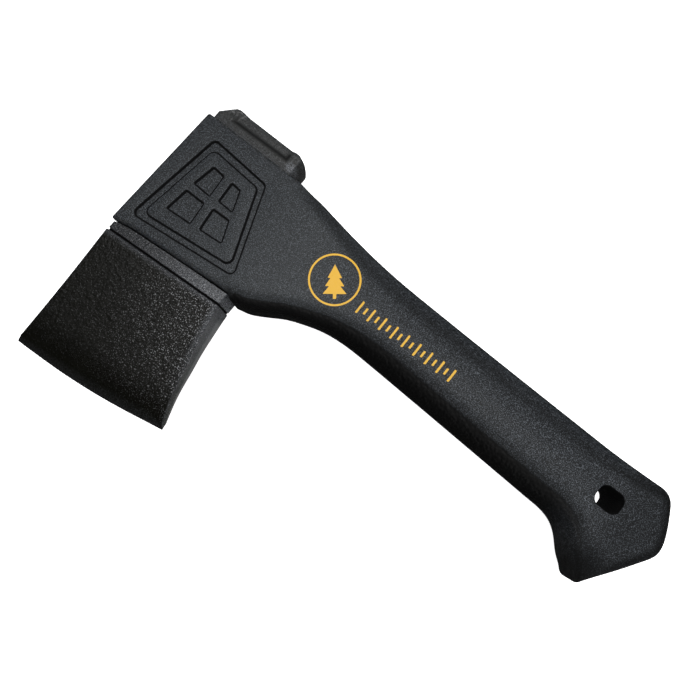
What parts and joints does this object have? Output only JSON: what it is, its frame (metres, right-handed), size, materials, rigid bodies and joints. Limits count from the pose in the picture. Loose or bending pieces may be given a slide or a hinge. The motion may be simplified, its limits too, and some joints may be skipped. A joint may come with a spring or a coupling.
{
  "type": "hatchet",
  "caption": "Compact one-hand hatchet: coated steel head with a hammer poll, captured in a moulded composite handle with a palm swell, flared butt and lanyard slot.",
  "frame": {"origin": "centre of the footprint, on the plane that the hatchet lies on (the collar's lower side face)", "axes": "+X along the handle towards the butt, -Y towards the cutting edge, +Y towards the poll, +Z through the thickness; the hatchet lies flat on its side"},
  "size_m": [0.2254, 0.1182, 0.024],
  "materials": {
    "coated_steel": "forged steel with a black coating that keeps a rough pebbled forge skin, satin to semi-gloss",
    "charcoal_composite": "charcoal glass-fibre-reinforced nylon, fine spark-eroded grain on the sides and a glossier pebbled grip band on the belly",
    "plug_plastic": "black moulded plastic, smooth satin"
  },
  "bodies": {
    "root": {"axe_head": "coated_steel", "handle": "charcoal_composite", "butt_plug": "plug_plastic"}
  },
  "joints": []
}
